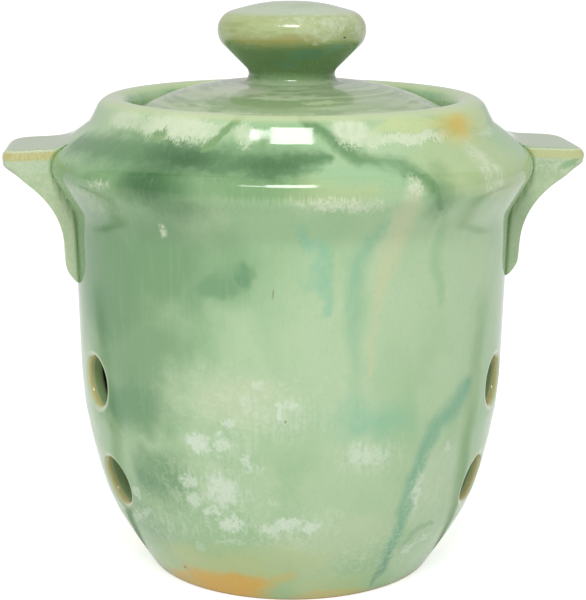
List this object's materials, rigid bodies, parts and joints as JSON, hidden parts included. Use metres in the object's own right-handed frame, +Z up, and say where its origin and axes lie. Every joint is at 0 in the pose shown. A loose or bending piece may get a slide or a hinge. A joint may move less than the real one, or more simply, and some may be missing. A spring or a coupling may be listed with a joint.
{
  "type": "onion pot",
  "caption": "Lidded stoneware storage pot with a flared shoulder band, two lug handles, vent holes low in the wall and a knobbed lift-off lid, for keeping onions dry and aired.",
  "frame": {"origin": "centre of the foot's underside, on the surface the pot stands on", "axes": "+Z up along the pot's axis, from the foot to the knob; +X through the right lug handle; +Y towards the back"},
  "size_m": [0.2229, 0.1858, 0.2195],
  "materials": {
    "pot_glaze": "glossy mottled celadon-green glaze over buff stoneware",
    "lug_glaze": "glossy pale green glaze that breaks ochre along the edges",
    "lid_glaze": "glossy streaked olive and pale green glaze",
    "knob_glaze": "glossy mottled green glaze"
  },
  "bodies": {
    "pot": {"pot_body": "pot_glaze", "left_lug_handle": "lug_glaze", "right_lug_handle": "lug_glaze"},
    "lid_body": {"lid": "lid_glaze", "lid_knob": "knob_glaze"}
  },
  "joints": [
    {"name": "lid_lift", "type": "slide", "parent": "pot", "child": "lid_body", "axis": [0, 0, 1], "range_m": [0, 0.12]}
  ]
}
